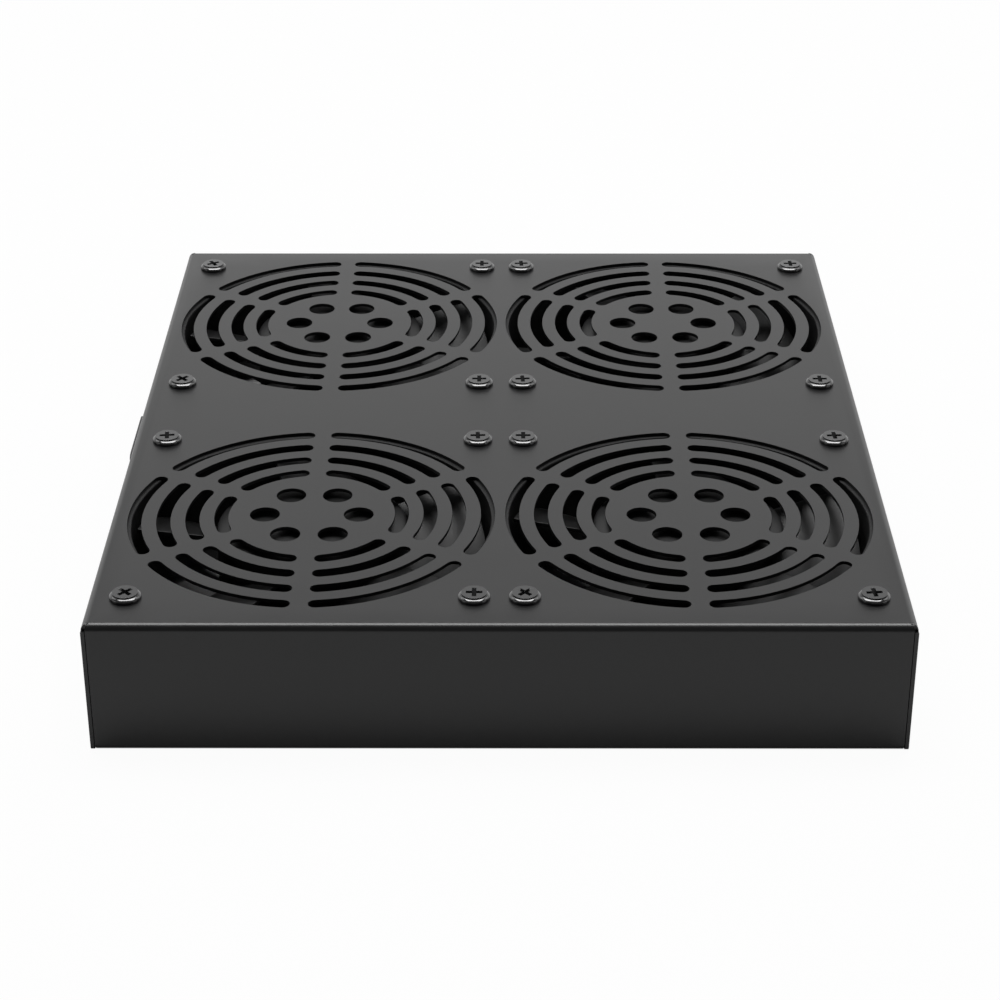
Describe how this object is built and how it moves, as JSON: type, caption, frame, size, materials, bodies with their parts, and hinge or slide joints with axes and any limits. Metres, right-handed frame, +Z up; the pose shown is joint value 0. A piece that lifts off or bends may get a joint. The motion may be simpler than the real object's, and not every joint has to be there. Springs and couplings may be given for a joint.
{
  "type": "rack fan tray",
  "caption": "Folded black steel ventilation tray with axial fans behind slotted round grilles and a mains inlet at one side.",
  "frame": {"origin": "middle of the four fixing holes, on the underside of the front and rear lips", "axes": "+Z up through the grilles, -Y the front flange, -X the side with the mains inlet"},
  "size_m": [0.251, 0.288, 0.046],
  "materials": {
    "pan_black": "satin powder coat",
    "screw_black": "satin black",
    "frame_black": "satin black cast frame",
    "impeller_black": "satin moulded",
    "plug_black": "matte",
    "inlet_black": "fine matte",
    "pin_nickel": "nickel plated",
    "block_ivory": "matte",
    "zinc": "zinc plated",
    "bearing_steel": "ground",
    "shaft_steel": "ground",
    "core_steel": "laminated",
    "copper": "enamelled wire",
    "lead_brown": "satin",
    "lead_blue": "satin",
    "lead_green": "satin",
    "cable_black": "satin"
  },
  "bodies": {
    "tray": {"earth_lead": "lead_green", "earth_nuts": "zinc", "earth_ring": "pin_nickel", "earth_stud": "zinc", "fan_bearings": "bearing_steel", "fan_cables": "cable_black", "fan_nuts": "zinc", "fan_plugs": "plug_black", "fan_screws": "screw_black", "front_left_frame": "frame_black", "front_right_frame": "frame_black", "inlet_housing": "inlet_black", "inlet_pins": "pin_nickel", "live_lead": "lead_brown", "neutral_lead": "lead_blue", "rear_left_frame": "frame_black", "rear_right_frame": "frame_black", "stator_coils": "copper", "stator_cores": "core_steel", "terminal_block": "block_ivory", "terminal_screws": "zinc", "tray_pan": "pan_black"},
    "front_left_rotor": {"front_left_impeller": "impeller_black", "front_left_shaft": "shaft_steel", "front_left_clip": "shaft_steel"},
    "front_right_rotor": {"front_right_impeller": "impeller_black", "front_right_shaft": "shaft_steel", "front_right_clip": "shaft_steel"},
    "rear_left_rotor": {"rear_left_impeller": "impeller_black", "rear_left_shaft": "shaft_steel", "rear_left_clip": "shaft_steel"},
    "rear_right_rotor": {"rear_right_impeller": "impeller_black", "rear_right_shaft": "shaft_steel", "rear_right_clip": "shaft_steel"}
  },
  "joints": [
    {"name": "front_left_spin", "type": "hinge", "parent": "tray", "child": "front_left_rotor", "pos_m": [-0.06015, -0.0748, 0.0048], "axis": [0, 0, 1], "continuous": true},
    {"name": "front_right_spin", "type": "hinge", "parent": "tray", "child": "front_right_rotor", "pos_m": [0.06015, -0.0748, 0.0048], "axis": [0, 0, 1], "continuous": true},
    {"name": "rear_left_spin", "type": "hinge", "parent": "tray", "child": "rear_left_rotor", "pos_m": [-0.06015, 0.0748, 0.0048], "axis": [0, 0, 1], "continuous": true},
    {"name": "rear_right_spin", "type": "hinge", "parent": "tray", "child": "rear_right_rotor", "pos_m": [0.06015, 0.0748, 0.0048], "axis": [0, 0, 1], "continuous": true}
  ]
}
